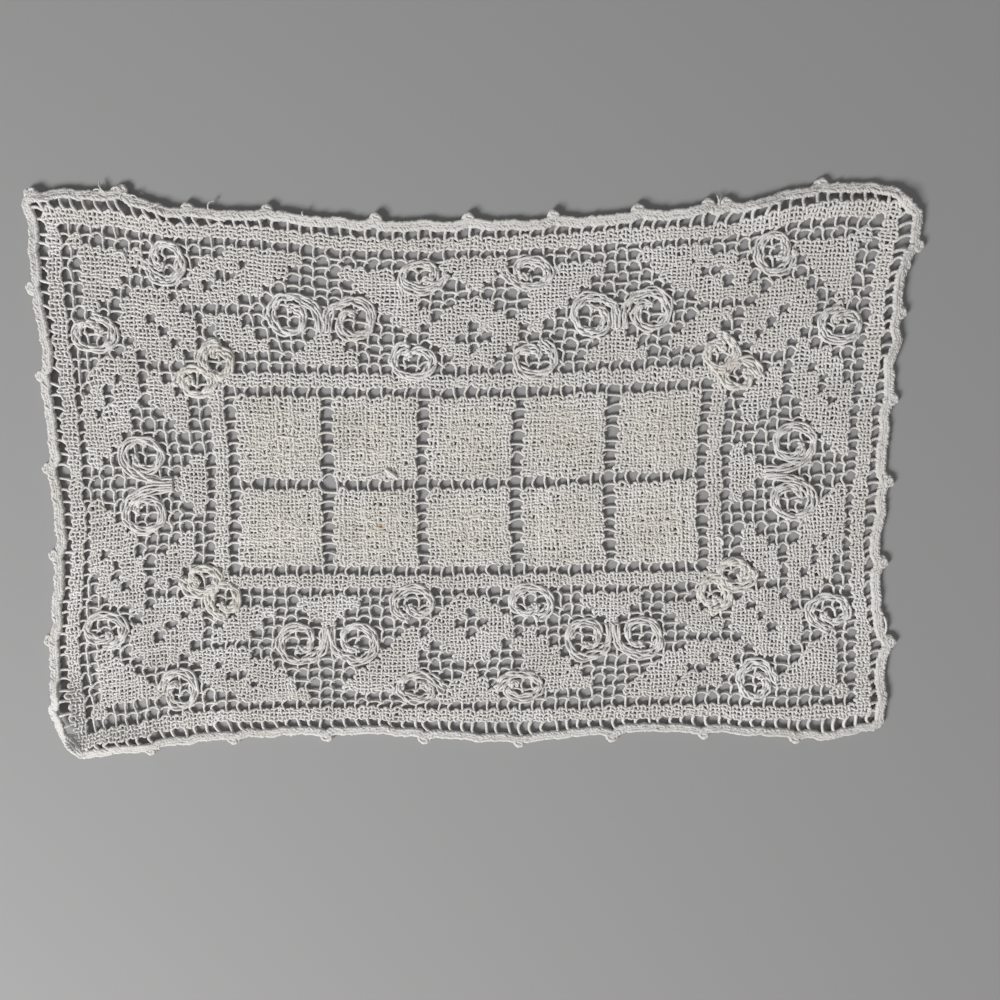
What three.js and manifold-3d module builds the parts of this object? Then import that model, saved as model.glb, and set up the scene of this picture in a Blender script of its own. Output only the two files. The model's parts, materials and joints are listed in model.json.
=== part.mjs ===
// Filet lace dresser scarf: one piece of knotted square net with its pattern darned into the meshes,
// scrolls run in strands of thread and a crocheted edging with picots. It lies flat, its sides pulled
// a little out of square and raised here and there. Millimetres, +Z up, +Y towards the far side.
import * as THREE from 'three';
import { mergeVertices } from 'three/addons/utils/BufferGeometryUtils.js';
import Module from 'manifold-3d';

const wasm = await Module();
wasm.setup();

// The net, counted in columns from the left and rows from the far side
const net = { cols: 71, rows: 47, meshWide: 5.65, meshHigh: 5.35 };
const lastCol = net.cols - 1;
const lastRow = net.rows - 1;
const barWide = 0.9; // net thread left between two gaps
const sheetThick = 1.0;
const scroll = { bandWide: 2.8, low: 0.4, top: 1.7, steps: 9, sweep: 405, turnIn: 0.58, innerShare: 0.28 };
const edging = { wide: 2.8, shoulder: 0.6, low: 0.4, top: 1.7, step: 3.5 };
const picot = { out: 2.2, half: 1.8 };
const maxGaps = 300;
const cutPast = 1; // how far a cut runs past the sheet's faces
const scrollRoom = 0.4; // meshes left uncut round a scroll
const flatSteps = { cols: 12, rows: 8 }; // points along each side of the flat middle
const threadColour = '#d9d5ca';

// The darned frame round the middle panel, and the open lines between the panel's squares
const outerBand = 1;
const panelBand = 14;
const panelLine = { first: 15, every: 8 };

// How far the laid net is pulled out of square, in millimetres, at seven columns of each row given
const pullCols = [0, 8, 15, 35, 55, 62, 70];
const pull = [
  { row: 0, x: [-8.6, -7.8, -7, 3.8, 7.5, 9.7, 11.5], y: [10.4, 6, 2.4, -4, 4.1, 12.3, 12.3] },
  { row: 8, x: [-5.3, -4.9, -4.6, 2.9, 5.1, 4.9, 3.4], y: [6.1, 3.7, 1.8, -1.3, 4.7, 8.1, 10] },
  { row: 15, x: [-1.5, -2.3, -1.7, 1.9, 1.2, -0.4, -0.5], y: [0.4, 0.9, 0.4, -0.6, 3.7, 6.1, 7.1] },
  { row: 23, x: [3.6, 2.3, 1.2, 0, -1.6, -3, -4.8], y: [-1.4, -1.4, -1.4, -1.4, 3.4, 4.8, 6.7] },
  { row: 31, x: [3.3, 0.4, 0.7, 1, -1.2, -2.8, -7.4], y: [-5.7, -0.9, 0.1, 0.1, 2.5, 4.4, 7.3] },
  { row: 38, x: [2.4, -0.1, -0.5, 1, -0.7, -2.8, -4.3], y: [-6.6, 0.1, 2.5, 2.5, 6.5, 5.9, 6.3] },
  { row: 46, x: [8.1, 2.8, 0.2, -1.4, -3.1, -3.9, -5.8], y: [-3.6, 2.1, 6, 5.5, 8.8, 6.9, 10.3] },
];
const slant = 0.0002; // share of size lost for each millimetre towards the far side

// Stretches of the rim that stand off the table: a line of meshes and its height. They fade out
// before the third ring of meshes, where the sheet is flat.
const raisedReach = 14;
const flatFrom = 2.5;
const raised = [
  { name: 'far left', col: 0, row: 0, toCol: 10, toRow: 0, height: 2.4 },
  { name: 'far middle', col: 10, row: 0, toCol: 58, toRow: 0, height: 1.2 },
  { name: 'far right', col: 58, row: 0, toCol: 70, toRow: 0, height: 3 },
  { name: 'right', col: 70, row: 0, toCol: 70, toRow: 13, height: 1.8 },
  { name: 'left', col: 0, row: 6, toCol: 0, toRow: 20, height: 1.4 },
  { name: 'near left curl', col: 0, row: 41, toCol: 0, toRow: 46, height: 4.5 },
  { name: 'near left hem', col: 0, row: 46, toCol: 7, toRow: 46, height: 3 },
  { name: 'near right', col: 66, row: 46, toCol: 70, toRow: 44, height: 2 },
];

// Darned motifs charted mesh by mesh for one quarter, # for a darned mesh, then mirrored both ways.
// A turned motif also stands flipped over the corner's diagonal.
const motifs = [
  { name: 'corner leaf', col: 3, row: 3, turned: false,
    chart: ['#', ' #####', ' ####', ' ###', ' ##', ' #'] },
  { name: 'rose', col: 7, row: 7, turned: false,
    chart: [' ###', '#####', '## ###', '### ##', ' ### #', '  ###'] },
  { name: 'veined leaf', col: 12, row: 3, turned: true,
    chart: ['    ######', '  ### ###', ' ##  ###', ' # ####', '#####'] },
  { name: 'slim leaf', col: 14, row: 9, turned: true, chart: ['###', ' ###', '  ###'] },
  { name: 'fan leaf', col: 21, row: 10, turned: true, chart: ['  #', ' ###', '#####'] },
  { name: 'long leaf', col: 25, row: 4, turned: false,
    chart: ['####', ' ####', '  ####', '   ###', '    ###', '     #'] },
  { name: 'bud', col: 33, row: 3, turned: false, chart: ['#####', ' ###', '  #'] },
  { name: 'flower', col: 32, row: 7, turned: false,
    chart: ['  ###', ' #####', '### ###', '##   ##', ' ## ##', '  ###'] },
];

// Run scrolls of one quarter: centre and half size in meshes, the angle of the outer end, the way
// round (1 anticlockwise), and the length of the tail that joins it to its leaf, in millimetres
const scrolls = [
  { name: 'by corner leaf', col: 10.4, row: 4.1, halfCols: 1.4, halfRows: 1.6, start: 205, way: 1,
    tail: 5, turned: true },
  { name: 'by panel corner', col: 14.2, row: 12.3, halfCols: 1.2, halfRows: 1.45, start: 100, way: 1,
    tail: 3, turned: true },
  { name: 'on stem, outward', col: 20.1, row: 8.1, halfCols: 1.5, halfRows: 1.6, start: 60, way: 1,
    tail: 8, turned: true },
  { name: 'on stem, inward', col: 25.4, row: 8.2, halfCols: 1.5, halfRows: 1.6, start: 120, way: -1,
    tail: 8, turned: false },
  { name: 'by bud', col: 30.7, row: 4, halfCols: 1.65, halfRows: 1.15, start: -30, way: -1,
    tail: 6, turned: false },
  { name: 'by long leaf', col: 30, row: 12, halfCols: 1.65, halfRows: 1.4, start: 120, way: 1,
    tail: 3, turned: false },
];

// Picots on each side: the first one, the step to the next, and how many
const picots = [
  { side: 'far', first: 5, every: 7.25, count: 9 },
  { side: 'near', first: 7, every: 8, count: 8 },
  { side: 'left', first: 7, every: 7.2, count: 6 },
  { side: 'right', first: 4.7, every: 6.9, count: 6 },
];

// How far the edging is drawn in over the outer meshes, in millimetres at stations along each side
const tucks = {
  far: { at: [0, 3, 5, 8, 14, 20, 27, 33, 70], by: [0.5, -1.2, -1.6, -0.6, -0.4, 0.8, 1.8, 0, 0] },
  near: { at: [0, 12, 20, 28, 33, 39, 44, 50, 55, 62, 66, 70],
    by: [0, 0, 1.6, 2.6, 1, -1.2, 0, 1.4, 0.6, 0.6, -1.8, -0.5] },
  left: { at: [0, 4, 9, 12, 16, 20, 23, 28, 34, 39, 46],
    by: [2, 1.6, 2.6, 2.9, 2.6, 0.8, 0.2, 2.2, 2.2, 1.2, 0.6] },
  right: { at: [0, 1.5, 4, 7, 20, 24, 26, 30, 34, 38, 46],
    by: [-2, -2.8, -1.6, 0, 0, -1.2, -1.8, -1.2, -0.4, -0.6, 0.4] },
};

// A smooth curve through values given at rising stations
function along(stations, values, at) {
  const last = stations.length - 1;
  const slope = (i) => {
    const a = Math.max(i - 1, 0);
    const b = Math.min(i + 1, last);
    return (values[b] - values[a]) / (stations[b] - stations[a]);
  };
  let i = 0;
  while (i < last - 1 && at > stations[i + 1]) i += 1;
  const span = stations[i + 1] - stations[i];
  const t = (at - stations[i]) / span;
  const ease = t * t * (3 - 2 * t);
  const leave = t * (1 - t) * (1 - t) * span;
  const arrive = t * t * (t - 1) * span;
  return values[i] * (1 - ease) + values[i + 1] * ease + slope(i) * leave + slope(i + 1) * arrive;
}

// Where a point of the net lies; whole numbers are the middles of meshes
function lay(col, row) {
  const rows = pull.map((line) => line.row);
  const dx = along(rows, pull.map((line) => along(pullCols, line.x, col)), row);
  const dy = along(rows, pull.map((line) => along(pullCols, line.y, col)), row);
  const drawn = (side, at, meshes) => along(side.at, side.by, at) * THREE.MathUtils.clamp(meshes, 0, 1);
  const inX = drawn(tucks.left, row, 0.5 - col) - drawn(tucks.right, row, col - lastCol + 0.5);
  const inY = drawn(tucks.near, col, row - lastRow + 0.5) - drawn(tucks.far, col, 0.5 - row);
  const x = (col - lastCol / 2) * net.meshWide + dx + inX;
  const y = (lastRow / 2 - row) * net.meshHigh + dy + inY;
  const size = 1 - slant * y;
  return new THREE.Vector2(x * size, y * size);
}

// Darned meshes of the quarter, as keys of column and row
const quarterKey = (col, row) => `${Math.min(col, lastCol - col)},${Math.min(row, lastRow - row)}`;
const charted = new Set();
for (const motif of motifs) {
  motif.chart.forEach((line, down) => {
    [...line].forEach((mark, over) => {
      if (mark !== '#') return;
      const col = motif.col + over;
      const row = motif.row + down;
      charted.add(quarterKey(col, row));
      if (motif.turned) charted.add(quarterKey(row, col));
    });
  });
}

function isDarned(col, row) {
  const inCol = Math.min(col, lastCol - col);
  const inRow = Math.min(row, lastRow - row);
  const ring = Math.min(inCol, inRow);
  const onLine = (at) => (at - panelLine.first) % panelLine.every === 0;
  if (ring === outerBand || ring === panelBand) return true;
  if (ring >= panelLine.first) return !onLine(inCol) && !onLine(inRow);
  return charted.has(quarterKey(col, row));
}

// Every scroll of the whole net: turned copies, then the four mirror images
function allScrolls() {
  const placed = [];
  for (const one of scrolls) {
    const ways = [one];
    if (one.turned) {
      ways.push({ ...one, col: one.row, row: one.col, halfCols: one.halfRows, halfRows: one.halfCols,
        start: 270 - one.start, way: -one.way });
    }
    for (const own of ways) {
      const across = { ...own, col: lastCol - own.col, start: 180 - own.start, way: -own.way };
      for (const half of [own, across]) {
        placed.push(half, { ...half, row: lastRow - half.row, start: -half.start, way: -half.way });
      }
    }
  }
  return placed;
}
const placedScrolls = allScrolls();

const underScroll = (col, row) => placedScrolls.some((one) => {
  const over = (col - one.col) / (one.halfCols + scrollRoom);
  const down = (row - one.row) / (one.halfRows + scrollRoom);
  return over * over + down * down < 1;
});

// Gaps to cut: open meshes taken together, first in pairs along the outer ring and the panel's lines,
// then two by two in one quarter with their mirror images, those beside the panel before the rest
function findGaps() {
  const free = [];
  for (let row = 0; row < net.rows; row += 1) {
    const line = [];
    for (let col = 0; col < net.cols; col += 1) line.push(!isDarned(col, row) && !underScroll(col, row));
    free.push(line);
  }
  const gaps = [];
  const meshesOf = ({ col, row, wide, high }) => {
    const meshes = [];
    for (let k = 0; k < wide * high; k += 1) meshes.push([col + (k % wide), row + Math.floor(k / wide)]);
    return meshes;
  };
  const cut = (gap) => {
    gaps.push(gap);
    meshesOf(gap).forEach(([col, row]) => { free[row][col] = false; });
  };
  const ringOf = (col, row) => Math.min(col, lastCol - col, row, lastRow - row);
  const regular = (col, row) => ringOf(col, row) === 0 || ringOf(col, row) >= panelLine.first;
  for (const [wide, high] of [[2, 1], [1, 2], [1, 1]]) {
    for (let row = 0; row + high <= net.rows; row += 1) {
      for (let col = 0; col + wide <= net.cols; col += 1) {
        const gap = { col, row, wide, high };
        if (meshesOf(gap).every(([c, r]) => free[r][c] && regular(c, r))) cut(gap);
      }
    }
  }
  const blocks = [];
  const size = { wide: 2, high: 2 };
  for (let row = 0; row + size.high <= lastRow / 2; row += 1) {
    for (let col = 0; col + size.wide <= lastCol / 2; col += 1) {
      const block = { col, row, ...size };
      if (!meshesOf(block).every(([c, r]) => free[r][c])) continue;
      blocks.push(block);
      meshesOf(block).forEach(([c, r]) => { free[r][c] = false; });
    }
  }
  const beside = blocks.filter((block) => block.row >= panelBand);
  const beyond = blocks.filter((block) => block.row < panelBand);
  const room = Math.floor((maxGaps - gaps.length) / 4);
  for (const block of [...beside, ...beyond].slice(0, room)) {
    for (const col of [block.col, net.cols - size.wide - block.col]) {
      for (const row of [block.row, net.rows - size.high - block.row]) cut({ ...block, col, row });
    }
  }
  return gaps;
}

function gapShape({ col, row, wide, high }) {
  const inCols = barWide / 2 / net.meshWide;
  const inRows = barWide / 2 / net.meshHigh;
  const left = col - 0.5 + inCols;
  const right = col + wide - 0.5 - inCols;
  const far = row - 0.5 + inRows;
  const near = row + high - 0.5 - inRows;
  return new THREE.Shape([lay(left, near), lay(right, near), lay(right, far), lay(left, far)]);
}

// The four sides of a line round the net, a distance outside its outer meshes, with or without picots
function rim(outside, withPicots) {
  const beyond = 0.5 + outside / net.meshWide;
  const above = 0.5 + outside / net.meshHigh;
  const sides = {
    far: { length: lastCol, size: net.meshWide, at: (s, out) => lay(s, -above - out / net.meshHigh) },
    right: { length: lastRow, size: net.meshHigh,
      at: (s, out) => lay(lastCol + beyond + out / net.meshWide, s) },
    near: { length: lastCol, size: net.meshWide,
      at: (s, out) => lay(s, lastRow + above + out / net.meshHigh) },
    left: { length: lastRow, size: net.meshHigh, at: (s, out) => lay(-beyond - out / net.meshWide, s) },
  };
  const points = [];
  for (const name of ['left', 'near', 'right', 'far']) {
    const side = sides[name];
    const marks = [];
    for (let s = 0; s <= side.length; s += edging.step) marks.push({ s, out: 0 });
    if (withPicots) {
      const row = picots.find((line) => line.side === name);
      for (let k = 0; k < row.count; k += 1) {
        const middle = row.first + k * row.every;
        const foot = picot.half / side.size;
        const kept = marks.filter((mark) => Math.abs(mark.s - middle) > 2 * foot);
        marks.length = 0;
        marks.push(...kept, { s: middle - foot, out: 0 }, { s: middle, out: picot.out },
          { s: middle + foot, out: 0 });
      }
    }
    marks.sort((a, b) => a.s - b.s);
    const line = marks.map((mark) => side.at(mark.s, mark.out));
    points.push(...(name === 'left' || name === 'near' ? line : line.reverse()));
  }
  return points;
}

// The line between the flat middle and the rim
function flatLine() {
  const steps = flatSteps;
  const [left, right, far, near] = [flatFrom, lastCol - flatFrom, flatFrom, lastRow - flatFrom];
  const points = [];
  for (let k = 0; k < steps.rows; k += 1) points.push(lay(left, far + (near - far) * k / steps.rows));
  for (let k = 0; k < steps.cols; k += 1) points.push(lay(left + (right - left) * k / steps.cols, near));
  for (let k = steps.rows; k > 0; k -= 1) points.push(lay(right, far + (near - far) * k / steps.rows));
  for (let k = steps.cols; k > 0; k -= 1) points.push(lay(left + (right - left) * k / steps.cols, far));
  return points;
}

// A spiral band seen from above: down one side of its middle line and back up the other
function scrollShape({ col, row, halfCols, halfRows, start, way, tail }) {
  const centre = lay(col, row);
  const middle = [];
  for (let k = 0; k <= scroll.steps; k += 1) {
    const t = k / scroll.steps;
    const angle = THREE.MathUtils.degToRad(start + way * scroll.sweep * t);
    const share = 1 - (1 - scroll.innerShare) * THREE.MathUtils.smoothstep(t, scroll.turnIn, 1);
    const x = Math.cos(angle) * share * halfCols * net.meshWide;
    const y = Math.sin(angle) * share * halfRows * net.meshHigh;
    middle.push(new THREE.Vector2(x, y).add(centre));
  }
  const leave = middle[0].clone().sub(middle[1]).setLength(tail);
  middle.unshift(middle[0].clone().add(leave));
  const side = (sign) => middle.map((point, i) => {
    const before = middle[Math.max(i - 1, 0)];
    const after = middle[Math.min(i + 1, middle.length - 1)];
    const run = after.clone().sub(before).normalize();
    return new THREE.Vector2(-run.y, run.x).multiplyScalar(sign * scroll.bandWide / 2).add(point);
  });
  return new THREE.Shape([...side(1), ...side(-1).reverse()]);
}

// Solids in and out of the joining library
function toSolid(geometry) {
  geometry.deleteAttribute('normal');
  geometry.deleteAttribute('uv');
  const merged = mergeVertices(geometry);
  return new wasm.Manifold(new wasm.Mesh({
    numProp: 3,
    vertProperties: merged.attributes.position.array,
    triVerts: new Uint32Array(merged.index.array),
  }));
}

function plate(shape, low, top) {
  const geometry = new THREE.ExtrudeGeometry(shape, { depth: top - low, bevelEnabled: false });
  return toSolid(geometry.translate(0, 0, low));
}

// Height of the raised rim over a point
function lift(x, y) {
  const heights = raised.map((one) => {
    const from = lay(one.col, one.row);
    const run = lay(one.toCol, one.toRow).sub(from);
    const t = new THREE.Vector2(x, y).sub(from).dot(run) / run.lengthSq();
    const nearest = from.clone().addScaledVector(run, THREE.MathUtils.clamp(t, 0, 1));
    const fade = Math.max(0, 1 - nearest.distanceTo(new THREE.Vector2(x, y)) / raisedReach);
    return one.height * fade * fade;
  });
  return Math.hypot(...heights);
}

function laceGeometry() {
  const border = new THREE.Shape(rim(edging.wide - edging.shoulder, false));
  border.holes = [new THREE.Path(rim(-barWide / 2, false))];
  const outer = new THREE.Shape(rim(edging.wide, true));
  outer.holes = [new THREE.Path(flatLine())];
  let solid = plate(new THREE.Shape(flatLine()), 0, sheetThick).add(plate(outer, 0, sheetThick));
  for (const gap of findGaps()) {
    const cutter = plate(gapShape(gap), -cutPast, sheetThick + cutPast);
    solid = solid.subtract(cutter);
  }
  solid = solid.add(plate(border, edging.low, edging.top));
  for (const one of placedScrolls) {
    const band = plate(scrollShape(one), scroll.low, scroll.top);
    solid = solid.add(band);
  }
  const mesh = solid.getMesh();
  const positions = new Float32Array(mesh.vertProperties);
  for (let i = 0; i < positions.length; i += 3) positions[i + 2] += lift(positions[i], positions[i + 1]);
  const geometry = new THREE.BufferGeometry();
  geometry.setAttribute('position', new THREE.BufferAttribute(positions, 3));
  geometry.setIndex(new THREE.BufferAttribute(new Uint32Array(mesh.triVerts), 1));
  geometry.computeBoundingBox();
  const middle = geometry.boundingBox.getCenter(new THREE.Vector3());
  geometry.translate(-middle.x, -middle.y, -geometry.boundingBox.min.z);
  geometry.computeVertexNormals();
  return geometry;
}

const cotton = new THREE.MeshStandardMaterial({ color: threadColour, roughness: 0.95, metalness: 0 });
const lace = new THREE.Mesh(laceGeometry(), cotton);
lace.name = 'filet_lace';

const scarf = new THREE.Group();
scarf.add(lace);

export default scarf;
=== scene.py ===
import json
import math

import bpy
import numpy as np
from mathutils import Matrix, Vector

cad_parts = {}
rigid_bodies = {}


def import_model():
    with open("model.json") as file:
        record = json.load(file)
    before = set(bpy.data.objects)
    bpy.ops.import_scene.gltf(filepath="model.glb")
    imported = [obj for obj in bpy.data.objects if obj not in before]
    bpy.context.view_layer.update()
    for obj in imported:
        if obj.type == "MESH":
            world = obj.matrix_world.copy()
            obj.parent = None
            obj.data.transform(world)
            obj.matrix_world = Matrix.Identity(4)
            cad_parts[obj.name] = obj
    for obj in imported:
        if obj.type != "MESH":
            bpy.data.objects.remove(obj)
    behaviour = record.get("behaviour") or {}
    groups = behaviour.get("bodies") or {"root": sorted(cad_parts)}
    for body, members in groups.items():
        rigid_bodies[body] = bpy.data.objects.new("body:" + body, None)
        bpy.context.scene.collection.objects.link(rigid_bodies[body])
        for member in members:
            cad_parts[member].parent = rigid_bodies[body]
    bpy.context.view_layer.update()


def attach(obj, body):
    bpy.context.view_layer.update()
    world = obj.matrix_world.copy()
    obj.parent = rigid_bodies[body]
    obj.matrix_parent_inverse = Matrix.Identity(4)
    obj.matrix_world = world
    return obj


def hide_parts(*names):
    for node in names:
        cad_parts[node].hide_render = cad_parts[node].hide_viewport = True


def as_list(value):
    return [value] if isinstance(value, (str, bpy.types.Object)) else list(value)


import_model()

# Filet lace dresser scarf built from its threads. Sizes are in mm until they go into a mesh.
mm = 0.001
dice = np.random.default_rng(2417)
scene = bpy.context.scene


def hexColour(text):  # sRGB hex to linear
    parts = [int(text[k:k + 2], 16) / 255 for k in (1, 3, 5)]
    return (*[p / 12.92 if p <= 0.04045 else ((p + 0.055) / 1.055) ** 2.4 for p in parts], 1.0)


def addNode(tree, kind, inputs=None, **settings):
    made = tree.nodes.new(kind)
    for name, value in settings.items():
        setattr(made, name, value)
    for socket, value in (inputs or {}).items():
        if isinstance(value, bpy.types.NodeSocket):
            tree.links.new(value, made.inputs[socket])
        else:
            made.inputs[socket].default_value = value
    return made


def reckon(tree, operation, *values):  # the result of a maths node
    return addNode(tree, "ShaderNodeMath", dict(enumerate(values)), operation=operation).outputs[0]


def listed(keys, *rows):  # a dictionary for each row of values
    return [dict(zip(keys.split(), row)) for row in rows]


# the laid net: where each mesh lies on the table
net = {
    "cols": 71,
    "rows": 47,
    "meshWide": 5.65,
    "meshHigh": 5.35,
    "slant": 0.0002,  # share of size lost for each mm towards the far side
    "middle": (2.927, 2.408),  # middle of the laid scarf's box
    "threadWidth": 1.16,
    "threadHeight": 1.5,  # middle of the net thread over the table
    "knotJitter": 0.4,
    "crossJitter": 0.26,
    "matting": 0.8,  # share more of it in the middle of a square
    "drawnIn": (0.65, 0.25),  # the darned squares have shrunk away from the open lines
    "weave": 0.26,  # rise of a thread where it passes over another
    "woven": (0, 0.6, 1.0),  # share of that with no, one or both neighbours darned
    "knotRise": 0.22,
    "sag": 0.25,  # of an open bar between its knots
    "bowUp": 0.9,  # bars that run far to near mostly bow to the left
    "bowOver": 1.05,  # and those across bow to the far side
    "bowTurn": 0.36,  # round and pinched meshes by turns
    "bowJitter": 0.38,
    "bowLean": (0.15, 0.3),  # mean and spread of how far a bow leans to one end
    "held": (1.0, 0.75, 0.1),  # bow left with no, one or both neighbours darned
    "swell": 0.28,  # thicker at the knots
    "ringGirth": 1.3,  # bars under the edging are doubled
    "ringIn": 0.8,  # outer knots lie this far inside the edging's middle
    "girthJitter": 0.05,
    "toneJitter": 0.5,
    "cream": 0.4,  # share of the squares' cream that the net takes
    "sides": 5,
}
lastCol = net["cols"] - 1
lastRow = net["rows"] - 1

pullCols = [0, 8, 15, 35, 55, 62, 70]
pull = listed(  # how the whole net is pulled out of square, mm at the columns above
    "row x y",
    (0, [-8.6, -7.8, -7, 3.8, 7.5, 9.7, 11.5], [10.4, 6, 2.4, -4, 4.1, 12.3, 12.3]),
    (8, [-5.3, -4.9, -4.6, 2.9, 5.1, 4.9, 3.4], [6.1, 3.7, 1.8, -1.3, 4.7, 8.1, 10]),
    (15, [-1.5, -2.3, -1.7, 1.9, 1.2, -0.4, -0.5], [0.4, 0.9, 0.4, -0.6, 3.7, 6.1, 7.1]),
    (23, [3.6, 2.3, 1.2, 0, -1.6, -3, -4.8], [-1.4, -1.4, -1.4, -1.4, 3.4, 4.8, 6.7]),
    (31, [3.3, 0.4, 0.7, 1, -1.2, -2.8, -7.4], [-5.7, -0.9, 0.1, 0.1, 2.5, 4.4, 7.3]),
    (38, [2.4, -0.1, -0.5, 1, -0.7, -2.8, -4.3], [-6.6, 0.1, 2.5, 2.5, 6.5, 5.9, 6.3]),
    (46, [8.1, 2.8, 0.2, -1.4, -3.1, -3.9, -5.8], [-3.6, 2.1, 6, 5.5, 8.8, 6.9, 10.3]))
drifts = listed(  # small patches of net pulled aside: middle and reach in meshes, shift in mm
    "col row reach x y", (19.5, 6, 3.5, -2.2, 0), (28, 9, 2.5, 0, -1.8), (11.5, 0, 2.5, 0, -1.9),
    (5, 0, 4, 0, 1.2), (24, 1, 4.5, 0, -2.4), (30, 1, 4.5, 0, -2.2))
tucks = {  # how far the edging is drawn in over the outer meshes, mm at stations along each side
    "far": {"at": [0, 3, 5, 8, 14, 17, 20, 24, 27, 30, 34, 38, 52, 57, 60, 63, 70],
            "by": [0.5, -0.6, -1.2, -0.2, 1.2, 0.9, -0.2, -1.0, -0.8, -1.4, -0.9, 0, 0.4, 1.5, 1.2, 0.2, 0.6]},
    "near": {"at": [0, 12, 20, 28, 33, 39, 44, 50, 55, 62, 66, 70],
             "by": [0, 0, 1.6, 2.6, 1, -1.2, 0, 1.4, 0.6, 0.6, -1.8, -0.5]},
    "left": {"at": [0, 4, 9, 11.8, 14, 16, 20.7, 23, 27.2, 30, 34, 39, 46],
             "by": [2, 1.6, 2.6, 4.4, 3.0, 2.4, 2.1, 0.3, 3.4, 2.3, 2.2, 1.2, 0.6]},
    "right": {"at": [0, 1.5, 4, 6, 8, 10, 12, 14, 15.5, 18, 20.7, 23, 26.6, 28.7, 30.7, 33.3, 35.3, 37.4, 39,
                     41.4, 44.2, 46],
              "by": [-1.6, -2.4, -1.2, 0.2, 1.6, 0.9, 0.8, 2.0, 0.8, 1.4, 1.0, 0.5, -0.8, 0, 1.0, 1.4, 2.2, 1.9, 0.4,
                     1.5, 0.5, 0.4]},
}


def along(stations, values, at):  # smooth curve through values given at rising stations
    s = np.asarray(stations, float)
    v = np.asarray(values, float)
    last = len(s) - 1
    before = np.maximum(np.arange(last + 1) - 1, 0)
    after = np.minimum(np.arange(last + 1) + 1, last)
    slope = (v[after] - v[before]) / (s[after] - s[before]).reshape(-1, *[1] * (v.ndim - 1))
    k = np.clip(np.searchsorted(s, at) - 1, 0, last - 1)
    pick = (k,) if v.ndim == 1 else (k, np.arange(v.shape[1]))
    pickNext = (k + 1,) if v.ndim == 1 else (k + 1, np.arange(v.shape[1]))
    span = s[k + 1] - s[k]
    t = (at - s[k]) / span
    ease = t * t * (3 - 2 * t)
    bend = slope[pick] * t * (1 - t) ** 2 + slope[pickNext] * t * t * (t - 1)
    return v[pick] * (1 - ease) + v[pickNext] * ease + bend * span


def sideShift(table, side, at):  # what a table gives at stations along one side
    return along(table[side]["at"], table[side]["by"], at)


def lay(col, row):  # place in mm of a point of the net; whole numbers are mesh middles
    col, row = np.broadcast_arrays(np.asarray(col, float), np.asarray(row, float))
    c, r = col.ravel(), row.ravel()
    rows = [line["row"] for line in pull]
    x = along(rows, [along(pullCols, line["x"], c) for line in pull], r)
    y = along(rows, [along(pullCols, line["y"], c) for line in pull], r)
    for one in drifts:
        fade = np.exp(-((c - one["col"]) ** 2 + (r - one["row"]) ** 2) / one["reach"] ** 2)
        x += one["x"] * fade
        y += one["y"] * fade
    drawIn = lambda side, at, meshes: sideShift(tucks, side, at) * np.clip(meshes, 0, 1)
    x += drawIn("left", r, 0.5 - c) - drawIn("right", r, c - lastCol + 0.5)
    y += drawIn("near", c, r - lastRow + 0.5) - drawIn("far", c, 0.5 - r)
    x += (c - lastCol / 2) * net["meshWide"]
    y += (lastRow / 2 - r) * net["meshHigh"]
    size = 1 - net["slant"] * y
    return np.stack([x * size, y * size], -1).reshape(*col.shape, 2) - net["middle"]


raisedReach = 14  # mm from a raised rim to where the net lies on the table again
raised = listed(  # stretches of the rim that stand off the table, height in mm
    "at to height", ((0, 0), (10, 0), 2.4), ((10, 0), (58, 0), 1.2), ((58, 0), (70, 0), 3),
    ((70, 0), (70, 13), 1.8), ((0, 6), (0, 20), 1.4), ((0, 41), (0, 46), 4.5), ((0, 46), (7, 46), 3),
    ((66, 46), (70, 44), 2))
for one in raised:
    one["start"] = lay(*one["at"])
    one["run"] = lay(*one["to"]) - one["start"]


def lift(xy):  # how far the cloth stands off the table
    total = np.zeros(len(xy))
    for one in raised:
        start, run = one["start"], one["run"]
        t = np.clip((xy - start) @ run / (run @ run), 0, 1)
        away = np.linalg.norm(xy - start - t[:, None] * run, axis=1)
        total += (one["height"] * np.clip(1 - away / raisedReach, 0, 1) ** 2) ** 2
    return np.sqrt(total)


def stand(xy, rise):  # points in mm with their height over the table
    xy = np.asarray(xy, float)
    return np.column_stack([xy, net["threadHeight"] + rise + lift(xy)])


# the rim: a closed line along the middle of the edging, clockwise from above
rim = {
    "out": 1.2,  # mm beyond the net's outer knots
    "step": 0.25,  # mm between its points
    "meshStep": 0.05,  # and in meshes, when it is first laid
    "round": 4.5,  # mm over which it is smoothed before it is pulled aside,
    "smooth": 4,  # and after
    "bulge": 1.4,  # how far a picot pulls the rim out
    "bulgeReach": 3.4,
    "waves": {4.4: 0.12, 8.3: 0.16, 13: 0.2, 21: 0.24, 34: 0.25},  # length and size of its unevenness
}
roundCorners = [{"at": (lastCol, 0), "window": 30, "reach": 15}]  # corners that have lost their point
rimCuts = [{"from": (-191.8, -135.4), "to": (-207.0, -111.6)}]  # corner folded in along a straight line, mm
rimPulls = listed(  # places where the edging alone is drawn aside, mm
    "at x y reach", ((-0.5, -0.5), -2.4, -3.4, 6), ((7, -0.5), 0, 0.8, 9), ((lastCol + 0.5, 2.5), 1.0, 0, 12),
    ((lastCol + 0.5, 11.9), 2.4, 0, 3.5), ((lastCol + 0.5, lastRow + 0.5), -0.6, 0.8, 9),
    ((66, -0.5), 0, 0.9, 10), ((lastCol + 0.5, -0.5), -3.2, -2.6, 8))
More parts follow.
